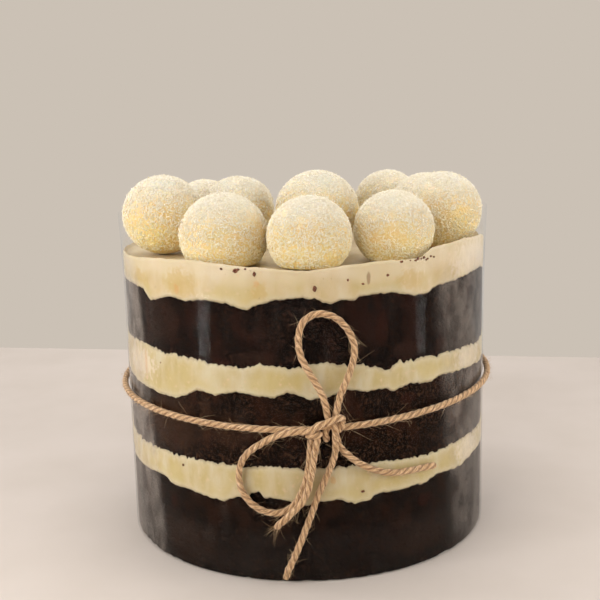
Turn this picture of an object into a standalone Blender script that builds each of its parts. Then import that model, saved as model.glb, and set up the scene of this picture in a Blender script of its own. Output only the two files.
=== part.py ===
"""Naked chocolate cake in a clear collar, tied with twine and topped with coconut truffles.

Units are metres, +Z is up, and the origin is the middle of the cake's flat underside.
The shown side faces -Y. Angles round the cake are counted from -Y towards +X.
"""

from math import cos, exp, pi, radians, sin, sqrt
from random import Random

import bmesh
import bpy
from mathutils import Matrix, Vector, noise

GAP = 0.0003  # clearance between pieces that touch

# Cake: a ring-baked round of 150 mm, three sponges with two fillings and a thick cream top
SPONGE_R = 0.0742
CREAM_R = 0.0747  # the soft layers bulge out to the collar
INNER_R = 0.0680  # inside this radius each joint between layers is level
SIDES = 60
CREAM_TOP = 0.1148  # level of the cream that the truffles stand on
SOFT_EDGE = 0.0014  # rounding of the soft layers at their edges
LIP_FOOT_R = 0.0712
LIP_TOP_R = 0.0733

# Joints between layers at the cake's side: level, how much higher it is at +X, ripple, phase,
# and where it hangs lower: (angle in degrees, drop, half width in degrees)
LOWER_FILLING_FOOT = (0.0309, 0.0008, 0.0005, 0.4, ((-28, 0.0018, 5), (-1, 0.0015, 4), (15, 0.0020, 5)))
LOWER_FILLING_HEAD = (0.0433, 0.0000, 0.0004, 1.9, ())
UPPER_FILLING_FOOT = (0.0704, 0.0006, 0.0005, 2.6, ((-50, 0.0040, 11), (2, 0.0014, 5), (150, 0.0022, 9)))
UPPER_FILLING_HEAD = (0.0810, -0.0021, 0.0005, 0.9, ((23, 0.0018, 5), (-140, 0.0015, 8)))
TOP_CREAM_FOOT = (
    0.1049,
    0.0018,
    0.0004,
    3.3,
    (
        (-50, 0.0030, 5),
        (-35, 0.0012, 5),
        (-17, 0.0034, 6),
        (8, 0.0012, 4),
        (33, 0.0022, 5),
        (94, 0.0026, 5),
        (131, 0.0018, 6),
        (166, 0.0027, 5),
        (-158, 0.0020, 5),
        (-121, 0.0028, 6),
        (-90, 0.0016, 5),
    ),
)
TOP_CREAM_RIM = (0.1176, 0.0020, 0.0004, 5.0, ((-2, 0.0016, 9), (35, 0.0014, 7), (-70, 0.0010, 8)))

# Clear collar: a strip of film wound once round the cake, a little open at its upper edge
FILM_INNER_R = CREAM_R + GAP
FILM_WALL = 0.0005
FILM_HEIGHT = 0.1315
FILM_STRAIGHT = 0.0950
FILM_FLARE = 0.0010

# Truffles: x, y, radius and height of the top
TRUFFLES = (
    (-0.0562, -0.0145, 0.0164, 0.1464),
    (-0.0293, -0.0500, 0.0163, 0.1413),
    (0.0023, -0.0591, 0.0153, 0.1402),
    (0.0338, -0.0481, 0.0148, 0.1406),
    (0.0560, -0.0180, 0.0157, 0.1455),
    (0.0535, 0.0155, 0.0150, 0.1434),
    (0.0397, 0.0437, 0.0150, 0.1437),
    (0.0085, 0.0578, 0.0150, 0.1430),
    (-0.0282, 0.0530, 0.0145, 0.1415),
    (-0.0432, 0.0246, 0.0150, 0.1422),
    (0.0058, -0.0283, 0.0163, 0.1476),
    (-0.0270, -0.0012, 0.0150, 0.1446),
    (0.0080, 0.0155, 0.0151, 0.1450),
)
TRUFFLE_SQUASH = 0.97
TRUFFLE_BUMP = 0.00035
FLAKES_PER_TRUFFLE = 8
FLAKE_SIZE = (0.0036, 0.0012, 0.0010)
FLAKE_LOWEST = radians(32)  # no flake lies lower than this on its truffle
FLAKE_HIGHEST = 0.97  # as a share of the truffle's height above its middle
FLAKE_SUNK = 0.985  # where a flake's middle lies, as a share of the truffle's radius
GOLDEN_ANGLE = pi * (3 - sqrt(5))

# Twine: one thin jute cord round the collar, tied at the front
TWINE_R = 0.00125
FILM_OUTER_R = FILM_INNER_R + FILM_WALL
ON_FILM = FILM_OUTER_R + GAP + TWINE_R  # centre line of twine that lies on the film
ROUTE_R = 0.0780  # distances along the film are measured at this radius
BAND_HEIGHT = 0.0589
BAND_SIDE_RISE = 0.0010
BAND_BACK_RISE = 0.0080
BAND_FROM = 0.0137
BAND_TO = 0.0004
BAND_STEP = 0.0078
CORD_STEP = 0.0055

# Knot: a squat lump over the two ends of the band, with one turn of twine drawn over it
KNOT_AT = (0.0071, 0.0793, 0.0605)  # along the film, from the cake's axis, height
KNOT_SIZE = (0.0061, 0.0033, 0.0040)
KNOT_TURN_SLANT = radians(-38)
KNOT_TURN_SWING = radians(66)
KNOT_TURN_STEPS = 8

# Routes of the free twine: along the film from the front, from the cake's axis, height
UPPER_LOOP = (
    (0.0059, 0.0793, 0.0651),
    (0.0047, 0.0789, 0.0705),
    (0.0026, 0.0784, 0.0754),
    (0.0000, 0.0780, 0.0809),
    (-0.0018, 0.0776, 0.0855),
    (-0.0024, 0.0773, 0.0900),
    (-0.0021, 0.0771, 0.0942),
    (-0.0007, 0.0771, 0.0977),
    (0.0021, 0.0771, 0.0999),
    (0.0056, 0.0771, 0.1006),
    (0.0096, 0.0771, 0.0996),
    (0.0131, 0.0771, 0.0970),
    (0.0160, 0.0771, 0.0930),
    (0.0174, 0.0773, 0.0886),
    (0.0172, 0.0776, 0.0846),
    (0.0160, 0.0779, 0.0808),
    (0.0141, 0.0783, 0.0762),
    (0.0119, 0.0788, 0.0710),
    (0.0096, 0.0793, 0.0650),
)
LEFT_LOOP = (
    (0.0003, 0.0800, 0.0578),
    (-0.0040, 0.0801, 0.0582),
    (-0.0080, 0.0800, 0.0580),
    (-0.0120, 0.0793, 0.0567),
    (-0.0161, 0.0782, 0.0541),
    (-0.0201, 0.0774, 0.0514),
    (-0.0233, 0.0771, 0.0482),
    (-0.0253, 0.0771, 0.0442),
    (-0.0259, 0.0771, 0.0396),
    (-0.0248, 0.0771, 0.0349),
    (-0.0218, 0.0771, 0.0309),
    (-0.0174, 0.0771, 0.0282),
    (-0.0127, 0.0771, 0.0274),
    (-0.0086, 0.0771, 0.0283),
    (-0.0055, 0.0771, 0.0306),
    (-0.0032, 0.0771, 0.0342),
    (-0.0018, 0.0771, 0.0390),
    (-0.0010, 0.0771, 0.0450),
    (-0.0004, 0.0773, 0.0505),
    (0.0014, 0.0777, 0.0556),
)
LEFT_TAIL = (
    (0.0045, 0.0798, 0.0561),
    (0.0034, 0.0797, 0.0530),
    (0.0022, 0.0796, 0.0493),
    (0.0016, 0.0796, 0.0437),
    (0.0004, 0.0798, 0.0381),
    (-0.0020, 0.0801, 0.0334),
    (-0.0055, 0.0801, 0.0293),
    (-0.0086, 0.0795, 0.0260),
    (-0.0106, 0.0785, 0.0239),
    (-0.0120, 0.0778, 0.0222),
)
DOWN_TAIL = (
    (0.0093, 0.0797, 0.0562),
    (0.0099, 0.0792, 0.0530),
    (0.0098, 0.0785, 0.0505),
    (0.0090, 0.0777, 0.0477),
    (0.0077, 0.0772, 0.0442),
    (0.0058, 0.0771, 0.0398),
    (0.0033, 0.0771, 0.0339),
    (0.0010, 0.0771, 0.0275),
    (-0.0016, 0.0771, 0.0207),
    (-0.0039, 0.0771, 0.0149),
    (-0.0064, 0.0771, 0.0091),
    (-0.0082, 0.0771, 0.0051),
    (-0.0092, 0.0771, 0.0020),
)
RIGHT_TAIL = (
    (0.0128, 0.0777, 0.0574),
    (0.0131, 0.0773, 0.0540),
    (0.0141, 0.0771, 0.0503),
    (0.0165, 0.0771, 0.0469),
    (0.0201, 0.0771, 0.0444),
    (0.0240, 0.0771, 0.0423),
    (0.0280, 0.0771, 0.0407),
    (0.0320, 0.0771, 0.0397),
    (0.0362, 0.0771, 0.0393),
    (0.0421, 0.0771, 0.0391),
    (0.0486, 0.0771, 0.0388),
    (0.0518, 0.0771, 0.0386),
)


def clear_scene():
    for obj in list(bpy.data.objects):
        bpy.data.objects.remove(obj)


def finish(name, colour, roughness, alpha=1.0):
    """A plain finish that pieces of one kind share."""
    material = bpy.data.materials.new(name)
    material.use_nodes = True
    shader = material.node_tree.nodes["Principled BSDF"]
    shader.inputs["Base Color"].default_value = (*colour, 1.0)
    shader.inputs["Roughness"].default_value = roughness
    shader.inputs["Metallic"].default_value = 0.0
    shader.inputs["Alpha"].default_value = alpha
    return material


def add_object(name, data, material):
    obj = bpy.data.objects.new(name, data)
    bpy.context.scene.collection.objects.link(obj)
    data.materials.append(material)
    return obj


def smooth(mesh, angle):
    mesh.shade_smooth()
    mesh.set_sharp_from_angle(angle=radians(angle))


def around(angle, radius, height):
    """The point at an angle from the front, a distance from the axis and a height."""
    return Vector((radius * sin(angle), -radius * cos(angle), height))


def edge_height(edge, angle):
    """Height of a joint between layers at the cake's side."""
    level, side_rise, ripple, phase, lobes = edge
    height = level + side_rise * sin(angle)
    height += ripple * (0.6 * cos(7 * angle + phase) + 0.4 * cos(13 * angle + 2 * phase))
    for at, drop, width in lobes:
        away = (angle - radians(at) + pi) % (2 * pi) - pi
        height -= drop * exp(-((away / radians(width)) ** 2))
    return height


def loft(name, rows, material):
    """A closed round: rows of (radius, height of the angle), from the middle below to the middle above."""
    bm = bmesh.new()
    rings = []
    for radius, height in rows:
        if radius == 0:
            rings.append([bm.verts.new((0, 0, height(0)))])
            continue
        turn = [2 * pi * step / SIDES for step in range(SIDES)]
        rings.append([bm.verts.new(around(angle, radius, height(angle))) for angle in turn])
    for row, (lower, upper) in enumerate(zip(rings, rings[1:])):
        inwards = rows[row + 1][0] < rows[row][0]
        for step in range(SIDES):
            after = (step + 1) % SIDES
            if len(lower) == 1:
                bm.faces.new((lower[0], upper[after], upper[step]))
            elif len(upper) == 1:
                bm.faces.new((lower[step], lower[after], upper[0]))
            elif inwards:  # split like the face below or above it, so that the gap stays even
                bm.faces.new((lower[step], lower[after], upper[step]))
                bm.faces.new((lower[after], upper[after], upper[step]))
            else:
                bm.faces.new((lower[step], lower[after], upper[after]))
                bm.faces.new((lower[step], upper[after], upper[step]))
    bmesh.ops.recalc_face_normals(bm, faces=bm.faces)
    mesh = bpy.data.meshes.new(name)
    bm.to_mesh(mesh)
    bm.free()
    smooth(mesh, 40)
    return add_object(name, mesh, material)


def layer(name, foot, head, material, soft):
    """One sponge or filling that runs through the cake, between two joints."""
    half = GAP / 2
    low = (lambda angle: edge_height(foot, angle) + half) if foot else (lambda angle: 0.0)
    low_middle = foot[0] + half if foot else 0.0
    high = lambda angle: edge_height(head, angle) - half
    high_middle = head[0] - half
    rows = [(0, lambda angle: low_middle), (INNER_R, lambda angle: low_middle), (SPONGE_R, low)]
    if soft:
        rows += [(CREAM_R, lambda angle: low(angle) + SOFT_EDGE)]
        rows += [(CREAM_R, lambda angle: high(angle) - SOFT_EDGE)]
    rows += [(SPONGE_R, high), (INNER_R, lambda angle: high_middle), (0, lambda angle: high_middle)]
    return loft(name, rows, material)


def cream_top(material):
    """The thick cream cap: drips below, a low uneven lip against the collar above."""
    low_middle = TOP_CREAM_FOOT[0] + GAP / 2
    low = lambda angle: edge_height(TOP_CREAM_FOOT, angle) + GAP / 2
    rim = lambda angle: edge_height(TOP_CREAM_RIM, angle)
    rows = (
        (0, lambda angle: low_middle),
        (INNER_R, lambda angle: low_middle),
        (SPONGE_R, low),
        (CREAM_R, lambda angle: low(angle) + SOFT_EDGE),
        (CREAM_R, lambda angle: rim(angle) - SOFT_EDGE),
        (LIP_TOP_R, rim),
        (LIP_FOOT_R, lambda angle: CREAM_TOP),
        (0, lambda angle: CREAM_TOP),
    )
    return loft("cream_top", rows, material)


def collar(material):
    """The clear film: a thin standing tube, open at both ends."""
    outer = FILM_OUTER_R
    inner = FILM_INNER_R
    profile = (
        (inner, 0.0),
        (outer, 0.0),
        (outer, FILM_STRAIGHT),
        (outer + FILM_FLARE, FILM_HEIGHT),
        (inner + FILM_FLARE, FILM_HEIGHT),
        (inner, FILM_STRAIGHT),
    )
    bm = bmesh.new()
    rings = []
    for radius, height in profile:
        turn = [2 * pi * step / SIDES for step in range(SIDES)]
        rings.append([bm.verts.new(around(angle, radius, height)) for angle in turn])
    for row, lower in enumerate(rings):
        upper = rings[(row + 1) % len(rings)]
        for step in range(SIDES):
            after = (step + 1) % SIDES
            bm.faces.new((lower[step], lower[after], upper[after], upper[step]))
    bmesh.ops.recalc_face_normals(bm, faces=bm.faces)
    mesh = bpy.data.meshes.new("acetate_collar")
    bm.to_mesh(mesh)
    bm.free()
    smooth(mesh, 30)
    return add_object("acetate_collar", mesh, material)


def flake(name, normal, centre, draw, material):
    """One sliver of dried coconut, lying half sunk on the surface at centre."""
    bm = bmesh.new()
    bmesh.ops.create_cube(bm, size=1.0)
    bmesh.ops.scale(bm, vec=FLAKE_SIZE, verts=bm.verts)
    bmesh.ops.scale(bm, vec=(1, 0.5, 1), verts=[vert for vert in bm.verts if vert.co.x > 0])
    lean = Matrix.Rotation(radians(draw.uniform(-14, 14)), 3, "Y")
    turn = Matrix.Rotation(draw.uniform(0, 2 * pi), 3, "Z")
    upright = normal.to_track_quat("Z", "Y").to_matrix()
    bmesh.ops.transform(bm, matrix=(upright @ turn @ lean).to_4x4(), verts=bm.verts)
    bmesh.ops.translate(bm, vec=centre, verts=bm.verts)
    mesh = bpy.data.meshes.new(name)
    bm.to_mesh(mesh)
    bm.free()
    return add_object(name, mesh, material)


def as_shown(obj):
    """The mesh of an object with its curve's thickness or its modifiers."""
    bpy.context.view_layer.update()
    return bpy.data.meshes.new_from_object(obj.evaluated_get(bpy.context.evaluated_depsgraph_get()))


def fuse_all(obj, extras):
    """Join the extra objects to one object by a single union, and remove them."""
    group = bpy.data.collections.new(f"{obj.name}_extras")
    bpy.context.scene.collection.children.link(group)
    for extra in extras:
        bpy.context.scene.collection.objects.unlink(extra)
        group.objects.link(extra)
    fuse = obj.modifiers.new("fuse", "BOOLEAN")
    fuse.operation = "UNION"
    fuse.operand_type = "COLLECTION"
    fuse.collection = group
    fused = as_shown(obj)
    obj.modifiers.clear()
    obj.data = fused
    for extra in extras:
        bpy.data.objects.remove(extra)
    bpy.data.collections.remove(group)


def truffle(number, x, y, radius, top, material):
    """A hand-rolled ball, flat where it stands on the cream, with its larger flakes fused on."""
    name = f"truffle_{number:02d}"
    draw = Random(number)
    tall = radius * TRUFFLE_SQUASH
    middle = Vector((x, y, top - tall))
    offset = Vector((number * 3.1, number * 1.7, number * 0.9))
    floor = CREAM_TOP + GAP
    bm = bmesh.new()
    bmesh.ops.create_uvsphere(bm, u_segments=16, v_segments=9, radius=1.0)
    for vert in bm.verts:
        bump = TRUFFLE_BUMP * (noise.noise(vert.co * 1.6 + offset) - 0.5)
        vert.co = middle + Vector((vert.co.x * (radius + bump), vert.co.y * (radius + bump), vert.co.z * tall))
        vert.co.z = max(vert.co.z, floor)
    bmesh.ops.triangulate(bm, faces=bm.faces)
    mesh = bpy.data.meshes.new(name)
    bm.to_mesh(mesh)
    bm.free()
    ball = add_object(name, mesh, material)

    flakes = []
    for index in range(FLAKES_PER_TRUFFLE):
        share = (index + 0.5) / FLAKES_PER_TRUFFLE
        height = sin(FLAKE_LOWEST) + (FLAKE_HIGHEST - sin(FLAKE_LOWEST)) * share
        angle = index * GOLDEN_ANGLE + draw.uniform(-0.3, 0.3)
        level = sqrt(1 - height * height)
        normal = Vector((level * cos(angle), level * sin(angle), height))
        centre = middle + Vector((normal.x * radius, normal.y * radius, normal.z * tall)) * FLAKE_SUNK
        flakes.append(flake(f"{name}_flake_{index}", normal, centre, draw, material))
    fuse_all(ball, flakes)
    smooth(ball.data, 35)
    return ball


def on_film(along, radius, height):
    """The place of a route's point."""
    return around(along / ROUTE_R, radius, height)


def smooth_route(route):
    """A smooth curve through the route's points, as many short steps."""
    points = [on_film(*row) for row in route]
    points = [2 * points[0] - points[1], *points, 2 * points[-1] - points[-2]]
    fine = []
    for a, b, c, d in zip(points, points[1:], points[2:], points[3:]):
        for step in range(12):
            t = step / 12
            fine.append(
                0.5 * (2 * b + (c - a) * t + (2 * a - 5 * b + 4 * c - d) * t**2 + (3 * b - a - 3 * c + d) * t**3)
            )
    fine.append(points[-2])
    return fine


def evenly(points, step):
    """The same line with its points about one step apart."""
    lengths = [0.0]
    for a, b in zip(points, points[1:]):
        lengths.append(lengths[-1] + (b - a).length)
    count = max(2, round(lengths[-1] / step))
    even = []
    index = 0
    for number in range(count + 1):
        target = lengths[-1] * number / count
        while index < len(points) - 2 and lengths[index + 1] < target:
            index += 1
        share = (target - lengths[index]) / (lengths[index + 1] - lengths[index])
        even.append(points[index].lerp(points[index + 1], min(1.0, share)))
    return even


def twine(name, points, material):
    """Twine as a plain round tube along its centre line."""
    curve = bpy.data.curves.new(name, "CURVE")
    curve.dimensions = "3D"
    curve.bevel_depth = TWINE_R
    curve.bevel_resolution = 2
    curve.use_fill_caps = True
    spline = curve.splines.new("POLY")
    spline.points.add(len(points) - 1)
    for target, point in zip(spline.points, points):
        target.co = (*point, 1.0)
    return add_object(name, curve, material)


def band(material):
    """The twine round the collar, from one side of the knot to the other."""
    start = BAND_FROM / ROUTE_R
    end = 2 * pi + BAND_TO / ROUTE_R
    count = round((end - start) * ON_FILM / BAND_STEP)
    points = []
    for step in range(count + 1):
        angle = start + (end - start) * step / count
        height = BAND_HEIGHT + BAND_SIDE_RISE * sin(angle) + BAND_BACK_RISE * (1 - cos(angle)) / 2
        points.append(around(angle, ON_FILM, height))
    return twine("twine_band", points, material)


def knot(material):
    """The tied lump: a squat core with one slanting turn of twine over it."""
    along, radius, height = KNOT_AT
    angle = along / ROUTE_R
    wide, deep, tall = KNOT_SIZE
    bm = bmesh.new()
    bmesh.ops.create_uvsphere(bm, u_segments=16, v_segments=10, radius=1.0)
    for vert in bm.verts:
        ridge = 1 + 0.07 * cos(2 * pi * (vert.co.x * 1.5 + vert.co.z * 0.8))
        vert.co = Vector((vert.co.x * wide * ridge, vert.co.y * deep, vert.co.z * tall * ridge))
    place = Matrix.Translation(around(angle, radius, height)) @ Matrix.Rotation(angle, 4, "Z")
    bmesh.ops.transform(bm, matrix=place, verts=bm.verts)
    bmesh.ops.triangulate(bm, faces=bm.faces)
    mesh = bpy.data.meshes.new("twine_knot")
    bm.to_mesh(mesh)
    bm.free()
    core = add_object("twine_knot", mesh, material)

    slant = place @ Matrix.Rotation(KNOT_TURN_SLANT, 4, "Y")
    points = []
    for step in range(KNOT_TURN_STEPS + 1):
        swing = KNOT_TURN_SWING * (2 * step / KNOT_TURN_STEPS - 1)
        points.append(slant @ Vector((0, -deep * cos(swing), tall * sin(swing))))
    tube = twine("knot_turn", points, material)
    turn = add_object("knot_turn_solid", as_shown(tube), material)
    bpy.data.objects.remove(tube)
    fuse_all(core, [turn])
    smooth(core.data, 60)
    return core


def build():
    clear_scene()
    sponge = finish("chocolate_sponge", (0.020, 0.009, 0.006), 0.85)
    cream = finish("white_chocolate_cream", (0.80, 0.66, 0.43), 0.45)
    film = finish("clear_film", (0.92, 0.92, 0.90), 0.08, 0.25)
    coconut = finish("coconut", (0.86, 0.74, 0.46), 0.80)
    jute = finish("jute", (0.45, 0.27, 0.13), 0.90)

    layer("sponge_bottom", None, LOWER_FILLING_FOOT, sponge, False)
    layer("filling_lower", LOWER_FILLING_FOOT, LOWER_FILLING_HEAD, cream, True)
    layer("sponge_middle", LOWER_FILLING_HEAD, UPPER_FILLING_FOOT, sponge, False)
    layer("filling_upper", UPPER_FILLING_FOOT, UPPER_FILLING_HEAD, cream, True)
    layer("sponge_top", UPPER_FILLING_HEAD, TOP_CREAM_FOOT, sponge, False)
    cream_top(cream)
    collar(film)
    for number, (x, y, radius, top) in enumerate(TRUFFLES, start=1):
        truffle(number, x, y, radius, top, coconut)
    band(jute)
    knot(jute)
    free_ends = {
        "bow_loop_upper": UPPER_LOOP,
        "bow_loop_left": LEFT_LOOP,
        "tail_left": LEFT_TAIL,
        "tail_down": DOWN_TAIL,
        "tail_right": RIGHT_TAIL,
    }
    for name, route in free_ends.items():
        twine(name, evenly(smooth_route(route), CORD_STEP), jute)


build()
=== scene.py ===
"""Naked chocolate cake in a clear collar, tied with jute twine and topped with coconut truffles.

Everything is in metres, +Z up, with the middle of the cake's underside at the origin. The shown
side faces -Y, and angles round the cake are counted from there towards +X.
"""

from math import cos, pi, radians, sin

import bmesh
import bpy
import numpy as np
from mathutils import Matrix, Vector, noise


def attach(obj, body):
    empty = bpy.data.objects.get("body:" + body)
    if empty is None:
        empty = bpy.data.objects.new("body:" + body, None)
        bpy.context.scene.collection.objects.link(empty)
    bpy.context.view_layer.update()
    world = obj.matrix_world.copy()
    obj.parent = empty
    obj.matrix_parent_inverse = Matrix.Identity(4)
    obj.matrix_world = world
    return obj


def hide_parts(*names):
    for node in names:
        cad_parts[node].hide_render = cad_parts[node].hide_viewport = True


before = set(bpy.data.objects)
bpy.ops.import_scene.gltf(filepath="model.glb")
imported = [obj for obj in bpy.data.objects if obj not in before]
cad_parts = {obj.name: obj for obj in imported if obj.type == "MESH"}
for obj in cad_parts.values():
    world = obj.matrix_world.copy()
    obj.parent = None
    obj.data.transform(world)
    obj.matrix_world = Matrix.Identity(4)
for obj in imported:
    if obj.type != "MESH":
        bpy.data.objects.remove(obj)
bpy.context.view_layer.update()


# Chocolate sponges
# Three rounds of dark chocolate cake, baked in a ring and stacked with a filling between. The
# crumb is pressed flat by the collar, with small holes where it doesn't reach the film, and it
# is darker and redder where it is moist.

COLUMNS = 960  # faces round the cake
LEVEL_R = 0.0665  # inside this radius the joints between the layers are level
SPONGE_R = 0.0746
SPONGE_ROW = 0.00072
SPONGE_INSETS = (0.0012, 0.0068)
HOLE_DEPTH = 0.0006
AT_WALL = 0.0001  # what lies this near to a round's radius is its wall

# Height in mm of each joint at the collar, by angle in degrees. The back repeats the front.
LOWER_FILLING_FOOT = {
    -90: 32.6, -69: 31.5, -57: 32.1, -48: 32.8, -45: 30.9, -37: 30.6, -28: 29.2, -25: 29.1, -21: 31.1,
    -17.2: 31.0, -16.4: 33.5, -13.9: 33.9, -12.7: 31.5, -10: 32.1, -5: 30.5, -1: 29.2, 3: 30.8, 9: 30.6,
    13: 28.8, 17: 29.7, 20: 31.4, 27: 31.6, 37: 31.6, 40: 33.2, 54: 32.3, 64: 33.9, 90: 32.2,
}
LOWER_FILLING_HEAD = {
    -90: 43.5, -63: 42.8, -48: 43.4, -38: 43.1, -26: 43.5, -18: 43.3, -10: 44.4, -1: 43.2, 8: 43.5,
    20: 43.9, 28: 43.2, 38: 42.3, 47: 43.0, 60: 43.0, 72: 42.7, 90: 43.6,
}
UPPER_FILLING_FOOT = {
    -90: 69.2, -74: 67.6, -62: 66.5, -51: 65.8, -41: 65.6, -37: 67.5, -33: 70.1, -26: 69.3, -20: 71.2,
    -14: 70.2, -9: 69.7, -5: 71.7, 2: 68.8, 7: 70.2, 11: 71.9, 16: 71.1, 22: 71.0, 25: 69.6, 31: 71.4,
    38: 70.1, 42: 72.0, 55: 70.8, 71: 69.4, 90: 70.6,
}
UPPER_FILLING_HEAD = {
    -90: 82.8, -58: 83.8, -52: 83.5, -45: 82.4, -37: 82.4, -30: 81.5, -23: 80.8, -18: 80.5, -11: 81.9,
    -4: 80.7, 5: 82.4, 10: 80.8, 16: 80.4, 23: 78.0, 26: 79.9, 33: 80.2, 44: 80.0, 54: 79.6, 68: 78.5,
    90: 80.4,
}
TOP_CREAM_FOOT = {
    -90: 103.2, -78: 106.2, -56: 105.1, -51: 101.1, -47: 102.6, -42: 104.2, -35: 103.1, -29: 104.3,
    -22: 103.6, -17: 101.5, -12: 103.5, -7: 105.0, -1: 105.9, 3: 105.5, 7: 103.2, 10: 104.6, 14: 104.3,
    15: 105.7, 22: 105.9, 28: 105.1, 32: 103.6, 38: 103.9, 39: 105.4, 45: 106.3, 56: 107.4, 70: 108.1,
    80: 105.8, 90: 106.6,
}
TOP_CREAM_RIM = {
    -90: 116.4, -62: 116.5, -49: 117.7, -35: 118.4, -27: 118.1, -19: 117.3, -12: 116.5, -3: 115.8,
    1: 115.3, 11: 116.6, 16: 117.2, 25: 117.5, 34: 117.2, 39: 120.4, 53: 121.6, 70: 121.0, 90: 117.6,
}


def relief(points, size, seed):
    """Smooth noise from -1 to 1 at every point, with bumps of about that size."""
    shift = Vector((seed, 1.7 * seed, 0.3 * seed))
    return np.array([noise.noise(Vector(point) / size + shift) for point in points])


def joint(outline, ragged, seed):
    """Heights of a joint at every column. ragged pairs an amplitude with a width, both in metres."""
    turn = np.arange(COLUMNS) * 360 / COLUMNS
    folded = np.where(turn <= 90, turn, np.where(turn < 270, 180 - turn, turn - 360))
    heights = np.interp(folded, list(outline), list(outline.values())) / 1000
    window = np.hanning(5) / np.hanning(5).sum()
    heights = np.convolve(np.concatenate((heights[-2:], heights, heights[:2])), window, "valid")
    ring = np.array([np.sin(np.radians(turn)), np.cos(np.radians(turn)), 0 * turn]).T * SPONGE_R
    for amplitude, width in ragged:
        heights = heights + amplitude * relief(ring, width, seed)
    return heights


def read_points(obj):
    points = np.empty(len(obj.data.vertices) * 3)
    obj.data.vertices.foreach_get("co", points)
    return points.reshape(-1, 3)


def write_points(obj, points):
    obj.data.vertices.foreach_set("co", np.ascontiguousarray(points, dtype=np.float32).ravel())
    obj.data.update()


def note(obj, name, values):
    """Keeps one number for each vertex, which a finish can read."""
    attribute = obj.data.attributes.new(name, "FLOAT", "POINT")
    attribute.data.foreach_set("value", np.ascontiguousarray(values, dtype=np.float32))


def pick(*objects):
    """Selects these objects alone, with the last one active."""
    bpy.ops.object.select_all(action="DESELECT")
    for obj in objects:
        obj.select_set(True)
    bpy.context.view_layer.objects.active = objects[-1]


def made(name, primitive, location=(0, 0, 0), **settings):
    """A new object from one of Blender's own shapes."""
    bpy.ops.object.select_all(action="DESELECT")
    primitive(location=location, **settings)
    obj = bpy.context.object
    obj.name = obj.data.name = name
    return obj


def edit(obj, kind):
    """Opens an object in edit mode with nothing selected, to pick out that kind of element."""
    pick(obj)
    bpy.ops.object.mode_set(mode="EDIT")
    bpy.ops.mesh.select_mode(type=kind)
    bpy.ops.mesh.select_all(action="DESELECT")
    return bmesh.from_edit_mesh(obj.data)


def close_edit():
    bpy.ops.object.mode_set(mode="OBJECT")


def round_layer(name, radius, foot, head, row, insets):
    """A round between two ragged joints: its object, points, columns, and shares up and out."""
    low, high = foot.mean(), head.mean()
    obj = made(name, bpy.ops.mesh.primitive_cylinder_add, (0, 0, (low + high) / 2),
               vertices=COLUMNS, radius=radius, depth=high - low)
    bpy.ops.object.transform_apply(location=True)
    mesh = edit(obj, "EDGE")
    for edge in mesh.edges:
        if abs(edge.verts[0].co.z - edge.verts[1].co.z) > (high - low) / 2:
            edge.select_set(True)
    bpy.ops.mesh.subdivide(number_cuts=round((high - low) / row) - 1)
    close_edit()
    mesh = edit(obj, "FACE")
    for face in mesh.faces:
        if len(face.verts) > 4:
            face.select_set(True)
    for step in insets:
        bpy.ops.mesh.inset(thickness=step)
    bpy.ops.mesh.poke()
    close_edit()
    points = read_points(obj)
    angle = np.arctan2(points[:, 0], -points[:, 1])
    column = np.rint(angle / (2 * pi) * COLUMNS).astype(int) % COLUMNS
    out = np.hypot(points[:, 0], points[:, 1])
    up = (points[:, 2] - low) / (high - low)
    side = np.clip((out - LEVEL_R) / (radius - LEVEL_R), 0, 1)
    side = side * side * (3 - 2 * side)
    foot_here = low + side * (foot[column] - low)
    head_here = high + side * (head[column] - high)
    points[:, 2] = foot_here + up * (head_here - foot_here)
    note(obj, "above_foot", points[:, 2] - foot_here)
    note(obj, "below_head", head_here - points[:, 2])
    return obj, points, column, up, out


def push(points, out, amount):
    """Moves points away from the cake's axis, by an amount each."""
    scale = 1 + amount / np.maximum(out, 1e-6)
    points[:, 0] *= scale
    points[:, 1] *= scale


def shade(obj, degrees):
    pick(obj)
    bpy.ops.object.shade_smooth_by_angle(angle=radians(degrees))


def colour(red, green, blue):
    """A colour as seen on a screen, from 0 to 255, as the linear values that a shader takes."""
    return (*[(value / 255 / 12.92) if value < 11 else ((value / 255 + 0.055) / 1.055) ** 2.4
              for value in (red, green, blue)], 1.0)


def new_finish(name, roughness, specular=0.5):
    """A finish with its shader's plain values set: the material, its nodes and its shader."""
    finish = bpy.data.materials.new(name)
    finish.use_nodes = True
    shader = finish.node_tree.nodes["Principled BSDF"]
    shader.inputs["Roughness"].default_value = roughness
    shader.inputs["Specular IOR Level"].default_value = specular
    return finish, finish.node_tree, shader


def object_place(tree):
    return tree.nodes.new("ShaderNodeTexCoord").outputs["Object"]


def kept(tree, name, output="Fac"):
    """What note() kept under that name."""
    attribute = tree.nodes.new("ShaderNodeAttribute")
    attribute.attribute_name = name
    return attribute.outputs[output]


def grain(tree, place, size, detail=3.0, stretch=(1, 1, 1), shift=0.0):
    """Noise from 0 to 1 with spots of about that size, each axis stretched by its share."""
    mapping = tree.nodes.new("ShaderNodeMapping")
    mapping.inputs["Location"].default_value = (shift, shift, shift)
    mapping.inputs["Scale"].default_value = [1 / (size * share) for share in stretch]
    pattern = tree.nodes.new("ShaderNodeTexNoise")
    pattern.inputs["Scale"].default_value = 1.0
    pattern.inputs["Detail"].default_value = detail
    tree.links.new(place, mapping.inputs["Vector"])
    tree.links.new(mapping.outputs["Vector"], pattern.inputs["Vector"])
    return pattern.outputs["Fac"]


def between(tree, value, low, high, to_low=0.0, to_high=1.0):
    """A value's place between two others, kept within that range."""
    span = tree.nodes.new("ShaderNodeMapRange")
    span.interpolation_type = "SMOOTHSTEP"
    for name, number in (("From Min", low), ("From Max", high), ("To Min", to_low), ("To Max", to_high)):
        span.inputs[name].default_value = number
    tree.links.new(value, span.inputs["Value"])
    return span.outputs["Result"]


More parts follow.
